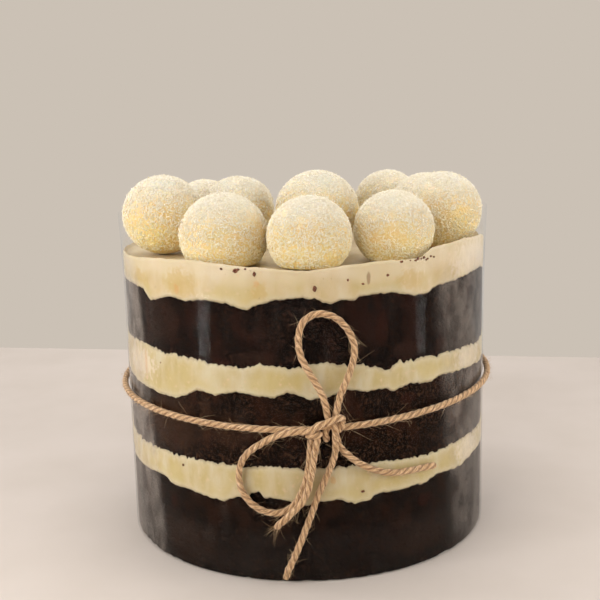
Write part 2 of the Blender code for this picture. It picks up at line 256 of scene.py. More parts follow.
def calculate(tree, operation, first, second):
    """Two values taken together by an operation. Each is a socket or a number."""
    step = tree.nodes.new("ShaderNodeMath")
    step.operation = operation
    for socket, value in zip(step.inputs, (first, second)):
        if isinstance(value, (int, float)):
            socket.default_value = value
        else:
            tree.links.new(value, socket)
    return step.outputs["Value"]


def product(tree, first, second):
    return calculate(tree, "MULTIPLY", first, second)


def total(tree, first, second):
    return calculate(tree, "ADD", first, second)


def shades(tree, factor, *stops):
    """A run of colours, each at its share of the factor."""
    ramp = tree.nodes.new("ShaderNodeValToRGB")
    elements = ramp.color_ramp.elements
    while len(elements) < len(stops):
        elements.new(0.5)
    for element, (position, tint) in zip(elements, stops):
        element.position = position
        element.color = tint
    tree.links.new(factor, ramp.inputs["Fac"])
    return ramp.outputs["Color"]


def mixed(tree, factor, first, second):
    """Two colours blended by a factor. Each is a socket or a colour."""
    mix = tree.nodes.new("ShaderNodeMix")
    mix.data_type = "RGBA"
    for socket, value in zip((mix.inputs[0], mix.inputs[6], mix.inputs[7]), (factor, first, second)):
        if isinstance(value, (int, float, tuple)):
            socket.default_value = value
        else:
            tree.links.new(value, socket)
    return mix.outputs[2]


def blended(tree, factor, first, second):
    """Two shaders blended by a factor."""
    mix = tree.nodes.new("ShaderNodeMixShader")
    for socket, value in zip(mix.inputs, (factor, first, second)):
        tree.links.new(value, socket)
    return mix.outputs["Shader"]


def split(tree, vector):
    """The three numbers of a vector, under their letters."""
    parts = tree.nodes.new("ShaderNodeSeparateXYZ")
    tree.links.new(vector, parts.inputs["Vector"])
    return parts.outputs


def bumpy(tree, shader, height, distance, strength=1.0):
    """Raises the surface by a height from 0 to 1 times the distance."""
    bump = tree.nodes.new("ShaderNodeBump")
    bump.inputs["Distance"].default_value = distance
    bump.inputs["Strength"].default_value = strength
    tree.links.new(height, bump.inputs["Height"])
    tree.links.new(bump.outputs["Normal"], shader.inputs["Normal"])


def spots(tree, place, rows, torn=0.5):
    """1 in ovals on the cake's wall, fading to 0 at their torn edges.

    Each row is a turn in degrees, then a height, a half width and a half height in mm.
    """
    tear = product(tree, calculate(tree, "SUBTRACT", grain(tree, place, 0.0016), 0.5), torn)
    covered = 0.0
    for turn, height, wide, tall in rows:
        oval = tree.nodes.new("ShaderNodeMapping")
        oval.vector_type = "TEXTURE"
        turn = radians(turn)
        oval.inputs["Location"].default_value = (SPONGE_R * sin(turn), -SPONGE_R * cos(turn), height / 1000)
        oval.inputs["Rotation"].default_value = (0, 0, turn)
        oval.inputs["Scale"].default_value = (wide / 1000, 0.010, tall / 1000)
        fade = tree.nodes.new("ShaderNodeTexGradient")
        fade.gradient_type = "SPHERICAL"
        tree.links.new(place, oval.inputs["Vector"])
        tree.links.new(oval.outputs["Vector"], fade.inputs["Vector"])
        covered = calculate(tree, "MAXIMUM", fade.outputs["Fac"], covered)
    return between(tree, total(tree, covered, tear), 0.12, 0.55)


def marked(tree, place, body, rows, amount, tint, torn=0.5):
    """A colour with that tint laid over it in ovals, as spots() places them."""
    return mixed(tree, product(tree, spots(tree, place, rows, torn), amount), body, tint)


def sponge_finish(name, dark, mid, light, moist, moist_from, pale=(), smears=()):
    """Chocolate crumb: open grain, moist patches above a height, pale patches and wet smears."""
    finish, tree, shader = new_finish(name, 0.75, 0.02)
    place = object_place(tree)
    fine = grain(tree, place, 0.0011, 4.0)
    coarse = grain(tree, place, 0.0062, 3.0, (1.3, 1.3, 0.8), 3.0)
    crumb = shades(tree, fine, (0.38, dark), (0.52, mid), (0.66, light))
    patches = between(tree, coarse, 0.40, 0.62)
    crumb = mixed(tree, patches, crumb, mixed(tree, 0.55, crumb, dark))
    wet = grain(tree, place, 0.011, 2.0, (0.8, 0.8, 1.6), 9.0)
    height = split(tree, place)["Z"]
    above = between(tree, height, moist_from - 0.005, moist_from + 0.005)
    wet = product(tree, between(tree, wet, 0.50, 0.66), above)
    crumb = mixed(tree, product(tree, wet, 0.6), crumb, moist)
    if pale:
        dry = product(tree, spots(tree, place, pale), 0.5)
        crumb = mixed(tree, dry, crumb, mixed(tree, 0.35, light, crumb))
    if smears:
        crumb = marked(tree, place, crumb, smears, 0.55, colour(46, 22, 14))
    tree.links.new(crumb, shader.inputs["Base Color"])
    tree.links.new(between(tree, fine, 0.3, 0.7, 0.6, 0.9), shader.inputs["Roughness"])
    bumpy(tree, shader, total(tree, fine, coarse), 0.0006, 0.8)
    return finish


def sponge(name, foot, head, finish, seed):
    """One sponge, its flattened crumb broken by small holes."""
    obj, points, column, up, out = round_layer(name, SPONGE_R, foot, head, SPONGE_ROW, SPONGE_INSETS)
    wall = out > SPONGE_R - AT_WALL
    flat = points * (1, 1, 1.5)
    holes = np.zeros(len(points))
    holes[wall] = np.clip(1.9 * relief(flat[wall], 0.0031, seed) - 0.35, 0, 1)
    holes[wall] += 0.8 * np.clip(1.9 * relief(flat[wall], 0.0013, seed + 4) - 0.45, 0, 1)
    push(points, out, -HOLE_DEPTH * holes)
    write_points(obj, points)
    obj.data.materials.append(finish)
    shade(obj, 50)
    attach(obj, "root")
    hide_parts(name.replace("_crumb", ""))


SMOOTH_DRIP = ((0.00030, 0.0060), (0.00048, 0.0024), (0.00042, 0.0011))
TOOTHED = ((0.00045, 0.0030), (0.00095, 0.0012), (0.00055, 0.0009))
LEVEL = np.zeros(COLUMNS)

filling_lower_foot = joint(LOWER_FILLING_FOOT, SMOOTH_DRIP, 2.0)
filling_lower_head = joint(LOWER_FILLING_HEAD, TOOTHED, 3.0)
filling_upper_foot = joint(UPPER_FILLING_FOOT, SMOOTH_DRIP, 4.0)
filling_upper_head = joint(UPPER_FILLING_HEAD, TOOTHED, 5.0)
cream_foot = joint(TOP_CREAM_FOOT, SMOOTH_DRIP, 6.0)
cream_rim = joint(TOP_CREAM_RIM, ((0.0004, 0.0060), (0.0002, 0.0020)), 7.0)

bottom_crumb = sponge_finish(
    "moist_sponge", colour(9, 5, 3), colour(20, 11, 7), colour(48, 32, 23), colour(42, 24, 15), 0.016,
    pale=((-38, 10, 20, 12), (34, 10, 22, 8)), smears=((-44, 24, 3.0, 4.5), (36, 25, 5.0, 4.0)),
)
middle_crumb = sponge_finish(
    "open_sponge", colour(11, 6, 4), colour(29, 17, 10), colour(70, 47, 33), colour(48, 25, 14), 0.050,
    pale=((-44, 56, 24, 16), (-30, 60, 4.5, 14), (-22, 56, 12, 10)),
    smears=((-57, 51, 1.9, 8), (-42, 48, 1.6, 6), (30, 66, 6, 3)),
)
top_crumb = sponge_finish(
    "close_sponge", colour(9, 5, 4), colour(22, 13, 9), colour(56, 37, 28), colour(42, 22, 15), 0.080,
    pale=((-46, 95, 16, 12), (-14, 84, 12, 4), (30, 84, 9, 5)),
    smears=((-53.5, 92, 1.5, 14), (21.4, 93, 4.0, 9), (-24, 82, 6, 2)),
)
sponge("sponge_bottom_crumb", LEVEL, filling_lower_foot, bottom_crumb, 11.0)
sponge("sponge_middle_crumb", filling_lower_head, filling_upper_foot, middle_crumb, 12.0)
sponge("sponge_top_crumb", filling_upper_head, cream_foot, top_crumb, 13.0)


# Cream fillings and cap
# White chocolate cream, spread between the sponges and thickly over the top one. It is pushed
# out against the collar, hangs in drips over the crumb below, and stands up in a thin lip round
# the truffles. Crumb has stained it along its edges.

CREAM_R = 0.07492
CREAM_ROW = 0.0005
CREAM_INSETS = (0.0008, 0.0076)
CAP_INSETS = (0.0006, 0.0008, 0.0010, 0.0010, 0.0012, 0.0016, 0.0020, 0.0030, 0.0040, 0.0060, 0.0080)
CREAM_ROUNDING = 0.0009
DENT_DEPTH = 0.00022
CAP_TOP = 0.1148
LIP_WIDTH = 0.0034
# As for spots()
YELLOW_AREAS = ((-57, 108, 9, 7), (-37, 109, 11, 8), (-12, 107, 4, 6), (31, 110, 8, 5))
PALE_AREAS = ((62, 113, 26, 12), (-60, 76, 18, 8), (58, 75, 14, 8), (58, 38, 14, 8))
ORANGE_STAINS = (
    (-13.0, 110.9, 1.6, 2.2), (6.7, 38.6, 1.5, 2.0), (-55.5, 76.0, 1.5, 8.0), (-38.5, 107.5, 1.6, 3.0),
)
# Brown crumb stains. The thin row at 13.2 degrees and 118.6 mm is a painted shadow on the rim.
BROWN_STAINS_AND_PAINTED_SHADOW = (
    (17.6, 111.9, 1.1, 3.2), (13.2, 118.6, 4.6, 0.9), (-12.0, 31.0, 4.0, 1.2), (-6.0, 28.9, 1.5, 1.0),
)


def cream_finish():
    """Cream pressed against film: paler and yellower in places, stained by crumb here and there, with a
    thin painted shadow along the rim.
    """
    finish, tree, shader = new_finish("white_chocolate_cream", 0.45, 0.25)
    place = object_place(tree)
    streaks = grain(tree, place, 0.0052, 3.0, (1, 1, 2.6), 1.0)
    cloudy = grain(tree, place, 0.019, 2.0, (1, 1, 1.2), 5.0)
    body = shades(tree, streaks, (0.34, colour(188, 168, 118)), (0.52, colour(197, 180, 140)),
                  (0.74, colour(206, 195, 166)))
    height = split(tree, place)["Z"]
    in_cap = between(tree, height, 0.088, 0.098, 0.0, 0.30)
    body = mixed(tree, in_cap, body, colour(220, 193, 156))
    body = mixed(tree, between(tree, cloudy, 0.42, 0.58, 0.0, 0.62), body, colour(193, 173, 116))
    uneven = total(tree, height, product(tree, cloudy, 0.012))
    body = mixed(tree, between(tree, uneven, 0.1150, 0.1205, 0.0, 0.45), body, colour(224, 209, 184))
    body = marked(tree, place, body, YELLOW_AREAS, 0.55, colour(194, 164, 100), 1.6)
    body = marked(tree, place, body, PALE_AREAS, 0.5, colour(232, 219, 202), 1.6)
    edge = calculate(tree, "MINIMUM", kept(tree, "above_foot"), kept(tree, "below_head"))
    thin = calculate(tree, "SUBTRACT", edge, product(tree, cloudy, 0.004))
    body = mixed(tree, between(tree, thin, -0.0020, 0.0014, 0.55, 0.0), body, colour(206, 196, 168))
    reach = between(tree, grain(tree, place, 0.0034, 3.0, (1, 1, 1), 7.0), 0.35, 0.75, 0.0002, 0.0019)
    stained = between(tree, calculate(tree, "DIVIDE", edge, reach), 0.35, 1.0, 1.0, 0.0)
    body = mixed(tree, product(tree, stained, 0.30), body, colour(150, 124, 94))
    specks = between(tree, grain(tree, place, 0.0009, 2.0, (1, 1, 1), 2.0), 0.70, 0.76)
    body = mixed(tree, product(tree, specks, 0.4), body, colour(120, 84, 48))
    body = marked(tree, place, body, ORANGE_STAINS, 0.38, colour(204, 146, 84), 1.3)
    # Brown crumb stains, and one thin painted shadow along the rim
    body = marked(tree, place, body, BROWN_STAINS_AND_PAINTED_SHADOW, 0.6, colour(128, 88, 56))
    tree.links.new(body, shader.inputs["Base Color"])
    shader.inputs["Subsurface Weight"].default_value = 0.25
    shader.inputs["Subsurface Radius"].default_value = (0.0022, 0.0016, 0.0008)
    bumpy(tree, shader, streaks, 0.0004, 0.4)
    return finish


cream = cream_finish()


def layer_of_cream(name, foot, head, insets, seed):
    """A round of cream with soft edges, and shallow dents where it doesn't touch the film."""
    obj, points, column, up, out = round_layer(name, CREAM_R, foot, head, CREAM_ROW, insets)
    wall = out > CREAM_R - AT_WALL
    edge = np.minimum(up, 1 - up) * (head - foot)[column] / CREAM_ROUNDING
    drawn_in = CREAM_ROUNDING * 0.45 * np.clip(1 - edge, 0, 1) ** 2
    drawn_in[wall] += DENT_DEPTH * np.clip(2 * relief(points[wall], 0.0055, seed), 0, 1)
    return obj, points, column, up, out, wall, drawn_in


def press_cream(obj, points, out, drawn_in, node):
    """Finishes a round of cream, which its soft edges and dents draw in from the film."""
    push(points, out, -drawn_in)
    write_points(obj, points)
    obj.data.materials.append(cream)
    shade(obj, 60)
    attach(obj, "root")
    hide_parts(node)


def filling(name, node, foot, head, seed):
    obj, points, column, up, out, wall, drawn_in = layer_of_cream(name, foot, head, CREAM_INSETS, seed)
    press_cream(obj, points, out, drawn_in, node)


filling("lower_cream", "filling_lower", filling_lower_foot, filling_lower_head, 21.0)
filling("upper_cream", "filling_upper", filling_upper_foot, filling_upper_head, 22.0)

# The cap's upper side sinks from its rim to the level that the truffles stand on
cap, points, column, up, out, wall, drawn_in = layer_of_cream(
    "cream_cap", cream_foot, cream_rim, CAP_INSETS, 23.0
)
above = (up > 0.999) & ~wall
inward = np.clip((CREAM_R - out[above]) / LIP_WIDTH, 0, 1)
rise = (1 - inward) ** 1.6
wave = 0.00035 * relief(points[above], 0.0080, 24.0) + 0.00018 * relief(points[above], 0.0028, 25.0)
points[above, 2] = CAP_TOP - 0.0004 + rise * (cream_rim[column[above]] - CAP_TOP) + wave
points[above, 2] = np.minimum(points[above, 2], np.where(inward < 1, 1.0, CAP_TOP + 0.00025))
cap.data.attributes["below_head"].data.foreach_set("value", np.ones(len(points), dtype=np.float32))
press_cream(cap, points, out, drawn_in, "cream_top")


# Crumbs
# Bits of dark sponge that the spreading knife dragged into the cream, most of them along the
# cap's rim. The collar presses them flat.

# As for spots()
CRUMBS = (
    (-22.8, 115.9, 0.40, 0.28), (-18.6, 115.4, 0.68, 0.55), (-15.8, 116.1, 0.30, 0.25),
    (-13.3, 114.4, 0.42, 0.62), (2.8, 109.0, 0.50, 0.78), (11.8, 111.6, 0.26, 0.35),
    (16.0, 109.9, 0.40, 0.26), (23.3, 112.3, 0.42, 0.36), (27.7, 116.6, 0.48, 0.30),
    (32.4, 116.5, 0.40, 0.26), (34.4, 116.9, 0.30, 0.22), (36.7, 116.6, 0.40, 0.28),
    (39.2, 116.9, 0.34, 0.24), (33.2, 117.0, 0.46, 0.36), (35.4, 117.2, 0.44, 0.38),
    (36.2, 116.3, 0.30, 0.26), (38.0, 117.3, 0.40, 0.30), (30.6, 116.7, 0.26, 0.20),
    (-17.8, 115.9, 0.40, 0.34), (15.3, 33.4, 0.55, 0.36), (-39.0, 39.9, 0.36, 0.34),
    (-47.0, 78.0, 0.24, 0.22),
)
CRUMB_GROWTH = 1.35  # what its roughness takes off a crumb's outline
CRUMB_DEPTH = 0.00022

crumb_points, crumb_faces = [], []
crumbs = made("cake_crumbs", bpy.ops.mesh.primitive_ico_sphere_add, subdivisions=4, radius=1.0)
pebble = read_points(crumbs)
pebble_faces = np.array([face.vertices[:] for face in crumbs.data.polygons])
for number, (turn, height, wide, tall) in enumerate(CRUMBS):
    turn = radians(turn)
    rough = pebble * (1 + 0.30 * relief(pebble, 0.9, number) + 0.16 * relief(pebble, 0.35, number))[:, None]
    flat = rough * (CRUMB_GROWTH * wide / 1000, CRUMB_DEPTH, CRUMB_GROWTH * tall / 1000)
    middle = (CREAM_R * sin(turn), -CREAM_R * cos(turn), height / 1000)
    spun = np.stack((flat[:, 0] * cos(turn) - flat[:, 1] * sin(turn),
                     flat[:, 0] * sin(turn) + flat[:, 1] * cos(turn), flat[:, 2]), -1)
    crumb_points.append(spun + middle)
    crumb_faces.append(pebble_faces + number * len(pebble))
crumbs.data.clear_geometry()
crumbs.data.from_pydata(np.vstack(crumb_points).tolist(), [], np.vstack(crumb_faces).tolist())
crumb_brown, tree, shader = new_finish("loose_crumb", 0.8, 0.1)
tone = grain(tree, object_place(tree), 0.0005, 2.0)
tree.links.new(shades(tree, tone, (0.35, colour(74, 40, 28)), (0.65, colour(142, 96, 74))),
               shader.inputs["Base Color"])
crumbs.data.materials.append(crumb_brown)
shade(crumbs, 60)
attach(crumbs, "root")


# Clear collar
# A strip of clear acetate film, wound once round the cake and lapped at the back. It stands up
# past the cream, opens a little at its upper edge, and is faintly misted from inside where the
# cold cake touches it.

FILM_R = 0.07515
FILM_WALL = 0.00018
FILM_LAP_STEP = 0.00022
FILM_LAP = radians(14)
FILM_HEIGHT = 0.1315
FILM_STRAIGHT = 0.0950
FILM_FLARE = 0.0010
# Where condensation clouds the film, in shares along the strip: where it starts and is full,
# where it thins out again, how far that leans per strip height, and how thick it is
CHILLED = (
    ((0.3775, 0.3675), (0.290, 0.225), 0.034, 0.115),
    ((0.622, 0.645), (0.668, 0.750), 0.030, 0.080),
)
CHILL_TOP = (0.80, 0.90)

film = made("film_collar", bpy.ops.mesh.primitive_grid_add, x_subdivisions=480, y_subdivisions=22, size=1.0)
strip = read_points(film)
wound = pi - FILM_LAP / 2 + (strip[:, 0] + 0.5) * (2 * pi + FILM_LAP)
height = (strip[:, 1] + 0.5) * FILM_HEIGHT
lap = np.clip((wound - 3 * pi + FILM_LAP) / FILM_LAP, 0, 1)
flare = FILM_FLARE * np.clip((height - FILM_STRAIGHT) / (FILM_HEIGHT - FILM_STRAIGHT), 0, 1) ** 1.5
radius = FILM_R + FILM_LAP_STEP * lap + flare
write_points(film, np.array([radius * np.sin(wound), -radius * np.cos(wound), height]).T)
bpy.context.view_layer.objects.active = film
wall_modifier = film.modifiers.new("wall", "SOLIDIFY")
wall_modifier.thickness = FILM_WALL
wall_modifier.offset = 1.0
bpy.ops.object.modifier_apply(modifier="wall")

clear, tree, shader = new_finish("clear_film", 0.08, 0.5)
output = tree.nodes["Material Output"]
tree.nodes.remove(shader)
through = tree.nodes.new("ShaderNodeBsdfTransparent")
through.inputs["Color"].default_value = (0.994, 0.994, 0.992, 1)
gloss = tree.nodes.new("ShaderNodeBsdfGlossy")
gloss.inputs["Roughness"].default_value = 0.09
mist = tree.nodes.new("ShaderNodeBsdfDiffuse")
mist.inputs["Color"].default_value = colour(214, 200, 188)
facing = tree.nodes.new("ShaderNodeLayerWeight")
facing.inputs["Blend"].default_value = 0.5
grazing = calculate(tree, "POWER", facing.outputs["Facing"], 5.0)
along = split(tree, tree.nodes.new("ShaderNodeTexCoord").outputs["UV"])
grazing = product(tree, grazing, between(tree, along["Y"], 0.86, 0.92, 0.45, 0.16))
shine = blended(tree, total(tree, grazing, 0.0028), through.outputs["BSDF"], gloss.outputs["BSDF"])
place = object_place(tree)
drops = grain(tree, place, 0.0042, 4.0, (1, 1, 3.2), 4.0)
cloud = grain(tree, place, 0.018, 2.0, (1, 1, 1.5), 8.0)
misted = product(tree, between(tree, drops, 0.45, 0.75), between(tree, cloud, 0.42, 0.64))
misted = product(tree, misted, 0.008)
mottle = between(tree, grain(tree, place, 0.0058, 8.0, (1, 1, 1.5), 2.0), 0.34, 0.66, 0.35, 1.35)
chill = between(tree, along["Y"], *CHILL_TOP, 1.0, 0.0)
chill = product(tree, chill, between(tree, along["Y"], 0.14, 0.34, 0.55, 1.0))
low = product(tree, between(tree, along["Y"], 0.12, 0.17, 0.005, 0.0), mottle)
misted = total(tree, misted, low)
for start, end, leaning, amount in CHILLED:
    slanted = total(tree, along["X"], product(tree, along["Y"], leaning))
    patch = product(tree, between(tree, slanted, *start), between(tree, slanted, *end, 1.0, 0.0))
    patch = product(tree, product(tree, patch, mottle), amount)
    misted = total(tree, misted, product(tree, patch, chill))
tree.links.new(blended(tree, misted, shine, mist.outputs["BSDF"]), output.inputs["Surface"])
film.data.materials.append(clear)
shade(film, 40)
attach(film, "root")
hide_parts("acetate_collar")


# Jute twine
# One length of three-ply jute, about 2.4 mm thick, tied round the collar. It is laid from three
# yarns twisted together, dry and hairy, and its bow is a knot with two loops and three cut tails
# lying on the film.

TWINE_R = 0.00125
ON_FILM = 0.07705  # centre line of twine that lies on the film
LYING = 77.1  # the same for a route, in mm
ROUTE_R = 0.0780  # distances along the film are measured at this radius
LAY_PITCH = 0.0104  # one full turn of the three yarns
RING_SIDES = 18
RING_STEP = 0.00042
YARN_R = 0.0006
YARN_OUT = TWINE_R - YARN_R
SHEER_GROOVE = 0.26  # how deep three bare yarns would leave a groove, as a share of the radius
GROOVE = 0.13  # how deep it is with the fibres pressed into it
UNEVEN = 0.035
END_ROUNDING = 0.0007

# Routes of the free twine, in mm: along the film from the front, then the height, then how far
# from the cake's axis where that isn't LYING
UPPER_LOOP = (
    (7.4, 63.1, 78.8), (6, 70.2, 78.7), (3.6, 75.4, 78.4), (0.5, 80.9, 78), (-1.6, 85.5, 77.6),
    (-2.4, 90, 77.3), (-2.1, 94.2), (-0.7, 97.7), (2.1, 99.9), (5.6, 100.6), (9.6, 99.6),
    (13.1, 97), (16, 93), (17.4, 88.6, 77.3), (17.2, 84.6, 77.6), (16, 80.8, 77.9),
    (14.1, 76.2, 78.3), (11.7, 71, 78.7), (9.8, 63.3, 78.8),
)
LEFT_LOOP = (
    (-0.6, 59, 80), (-4, 59, 80.1), (-8, 58.3, 79.8), (-12, 56.7, 79.1), (-16.1, 54.1, 78.2),
    (-20.1, 51.4, 77.4), (-23.3, 48.2), (-25.3, 44.2), (-25.9, 39.6), (-24.8, 34.9), (-21.8, 30.9),
    (-17.4, 28.2), (-12.7, 27.4), (-8.6, 28.3), (-5.5, 30.6), (-3.2, 34.2), (-1, 39.4), (0.2, 45),
    (0.8, 50.5, 77.3), (1.3, 55.6, 77.6),
)
LEFT_TAIL = (
    (3.6, 56.5, 79.7), (2.8, 53, 79.7), (2.1, 49.3, 79.6), (1.2, 43.7, 79.6), (0, 38.1, 79.8),
    (-2, 33.4, 80.1), (-5.5, 29.3, 80.1), (-8.6, 26, 79.5), (-10.6, 23.9, 78.5), (-12, 22.2, 77.8),
)
DOWN_TAIL = (
    (9.7, 56.6, 79.7), (9.8, 54, 79.4), (9.8, 51.4, 78.8), (9.2, 48.1, 78), (8, 44.3, 77.3),
    (6, 39.8), (3.3, 33.9), (1, 27.5), (-1.6, 20.7), (-3.9, 14.9), (-6.4, 9.1), (-8.2, 5.1),
    (-9.2, 2),
)
RIGHT_TAIL = (
    (10.5, 56.6), (10.8, 54.5), (11.9, 51.7), (14.8, 48.5), (18.7, 45.2), (23, 42.7), (28, 40.7),
    (32, 39.7), (36.2, 39.3), (42.1, 39.1), (48.6, 38.8), (51.8, 38.6),
)


def on_film(along, height, radius=LYING):
    angle = along / 1000 / ROUTE_R
    return np.array([radius * sin(angle), -radius * cos(angle), height]) / 1000


def distances(line):
    """How far along a line each of its points lies."""
    return np.concatenate(([0], np.cumsum(np.linalg.norm(np.diff(line, axis=0), axis=1))))


def smooth_route(points, step=RING_STEP):
    """Points an even step apart on a smooth curve through the given ones, and its length."""
    points = np.array([2 * points[0] - points[1], *points, 2 * points[-1] - points[-2]])
    a, b, c, d = points[:-3], points[1:-2], points[2:-1], points[3:]
    t = np.linspace(0, 1, 40, endpoint=False)[None, :, None]
    a, b, c, d = (each[:, None, :] for each in (a, b, c, d))
    fine = 0.5 * (2 * b + (c - a) * t + (2 * a - 5 * b + 4 * c - d) * t**2 + (3 * b - a - 3 * c + d) * t**3)
    fine = np.vstack((fine.reshape(-1, 3), points[-2]))
    travelled = distances(fine)
    even = np.linspace(0, travelled[-1], max(4, round(travelled[-1] / step)) + 1)
    return np.array([np.interp(even, travelled, fine[:, axis]) for axis in range(3)]).T, travelled[-1]


def mesh_piece(name, points, faces):
    """An object made of triangles."""
    mesh = bpy.data.meshes.new(name)
    mesh.vertices.add(len(points))
    mesh.vertices.foreach_set("co", np.ascontiguousarray(points, dtype=np.float32).ravel())
    mesh.loops.add(len(faces) * 3)
    mesh.loops.foreach_set("vertex_index", np.ascontiguousarray(faces, dtype=np.int32).ravel())
    mesh.polygons.add(len(faces))
    mesh.polygons.foreach_set("loop_start", np.arange(len(faces), dtype=np.int32) * 3)
    mesh.update(calc_edges=True)
    mesh.shade_smooth()
    obj = bpy.data.objects.new(name, mesh)
    bpy.context.scene.collection.objects.link(obj)
    return obj


def tangents(line):
    along = np.gradient(line, axis=0)
    return along / np.linalg.norm(along, axis=1)[:, None]


def carried_sides(line, first):
    """Two unit vectors across a line at each of its points, carried along it without twist."""
    along = tangents(line)
    side = np.empty_like(line)
    across = first - along[0] * np.dot(first, along[0])
    for index, direction in enumerate(along):
        across = across - direction * np.dot(across, direction)
        across = across / np.linalg.norm(across)
        side[index] = across
    return side, np.cross(along, side)


def spokes(side, up, sides):
    """Unit vectors across a line at each of its points, spread evenly round it."""
    around = np.arange(sides) * 2 * pi / sides
    return np.cos(around)[None, :, None] * side[:, None, :] + np.sin(around)[None, :, None] * up[:, None, :]


def tube_faces(rings, sides, first=0):
    """Triangles of a tube's wall and its two ends, whose middles follow the rings."""
    ring, side = np.meshgrid(np.arange(rings - 1), np.arange(sides), indexing="ij")
    a = first + ring * sides + side
    b = first + ring * sides + (side + 1) % sides
    wall = np.concatenate((np.stack((a, b, b + sides), -1), np.stack((a, b + sides, a + sides), -1)))
    around = np.arange(sides)
    after = (around + 1) % sides
    low, high = first + rings * sides, first + rings * sides + 1
    last = first + (rings - 1) * sides
    foot = np.stack((np.full(sides, low), first + after, first + around), -1)
    tip = np.stack((np.full(sides, high), last + around, last + after), -1)
    return np.concatenate((wall.reshape(-1, 3), foot, tip))


def twisted(line, seed):
    """Three-ply twine along a line: points, triangles, place in the ply, and depth in a groove."""
    side, up = carried_sides(line, np.array([0.0, 0.0, 1.0]))
    travelled = distances(line)
    around = np.arange(RING_SIDES) * 2 * pi / RING_SIDES
    twist = 2 * pi * travelled / LAY_PITCH + seed
    phase = around[None, :] + twist[:, None]
    off = np.abs((phase + pi / 3) % (2 * pi / 3) - pi / 3)
    reach = YARN_OUT * np.cos(off) + np.sqrt(np.maximum(YARN_R**2 - (YARN_OUT * np.sin(off)) ** 2, 0))
    groove = np.clip((1 - reach / TWINE_R) / SHEER_GROOVE, 0, 1)
    reach = TWINE_R * (1 - GROOVE * groove**1.5)
    draw = np.random.default_rng(int(seed * 100) + 7)
    loose = draw.normal(0, 1, (len(line) + 8, RING_SIDES))
    loose = sum(loose[shift : shift + len(line)] for shift in range(8)) / 8**0.5
    reach = reach * (1 + UNEVEN * loose)
    ends = np.minimum(travelled, travelled[-1] - travelled)
    reach = reach * (0.86 + 0.14 * np.clip(ends / END_ROUNDING, 0, 1))[:, None]
    points = (line[:, None, :] + reach[:, :, None] * spokes(side, up, RING_SIDES)).reshape(-1, 3)
    points = np.vstack((points, line[0], line[-1]))
    across, deep = TWINE_R * np.cos(phase), TWINE_R * np.sin(phase)
    ply = np.stack((np.repeat(travelled, RING_SIDES), across.ravel(), deep.ravel()), -1)
    ply = np.vstack((ply, (travelled[0], 0, 0), (travelled[-1], 0, 0)))
    return points, tube_faces(len(line), RING_SIDES), ply, np.concatenate((groove.ravel(), (1, 1)))


def twine_piece(name, strands):
    """One object of several lengths of twine."""
    points, faces, plies, grooves, count = [], [], [], [], 0
    for strand_points, strand_faces, ply, groove in strands:
        points.append(strand_points)
        faces.append(strand_faces + count)
        plies.append(ply)
        grooves.append(groove)
        count += len(strand_points)
    obj = mesh_piece(name, np.vstack(points), np.vstack(faces))
    attribute = obj.data.attributes.new("ply", "FLOAT_VECTOR", "POINT")
    attribute.data.foreach_set("vector", np.ascontiguousarray(np.vstack(plies), dtype=np.float32).ravel())
    note(obj, "groove", np.concatenate(grooves))
    obj.data.materials.append(jute)
    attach(obj, "root")
    return obj


jute, tree, shader = new_finish("jute", 0.85, 0.2)
ply = kept(tree, "ply", "Vector")
strands = grain(tree, ply, 0.00028, 3.0, (5, 1, 1))
length_tone = grain(tree, ply, 0.0060, 2.0, (1, 1, 1), 3.0)
straw = shades(tree, strands, (0.36, colour(116, 78, 46)), (0.46, colour(204, 164, 120)),
               (0.64, colour(246, 214, 174)))
straw = mixed(tree, between(tree, length_tone, 0.35, 0.65, 0.0, 0.40), straw, colour(206, 164, 116))
# Painted shade: the colour darkens towards (108, 68, 40) deep in the grooves between the yarns
straw = mixed(tree, between(tree, kept(tree, "groove"), 0.55, 1.0, 0.0, 0.65), straw, colour(108, 68, 40))
tree.links.new(straw, shader.inputs["Base Color"])
shader.inputs["Sheen Weight"].default_value = 0.15
bumpy(tree, shader, strands, 0.00045, 1.0)

BAND_HEIGHT = 0.0589
BAND_SIDE_RISE = 0.0010
BAND_BACK_RISE = 0.0072
BAND_SWELL = 0.0006
band_turn = np.linspace(0.0124 / ROUTE_R, 2 * pi + 0.0024 / ROUTE_R, 1100)
band_line = np.array([
    ON_FILM * np.sin(band_turn),
    -ON_FILM * np.cos(band_turn),
    BAND_HEIGHT + BAND_SIDE_RISE * np.sin(band_turn) + BAND_SWELL * np.sin(2 * band_turn) ** 2
    + BAND_BACK_RISE * (1 - np.cos(band_turn)) / 2,
]).T
band = twine_piece("twine_round", [twisted(band_line, 0.4)])
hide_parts("twine_band")

free_lengths = {
    "loop_upper": (UPPER_LOOP, "bow_loop_upper", "object", 1.3),
    "loop_left": (LEFT_LOOP, "bow_loop_left", "object", 2.1),
    "tail_frayed": (LEFT_TAIL, "tail_left", "bare", 0.2),
    "tail_long": (DOWN_TAIL, "tail_down", "bare", 1.9),
    "tail_side": (RIGHT_TAIL, "tail_right", "bare", 2.8),
}
twine_lines = [band_line]
for name, (route, node, far_end, turned) in free_lengths.items():
    line, length = smooth_route(np.array([on_film(*row) for row in route]))
    twine_lines.append(line)
    piece = twine_piece(name, [twisted(line, turned)])
    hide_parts(node)

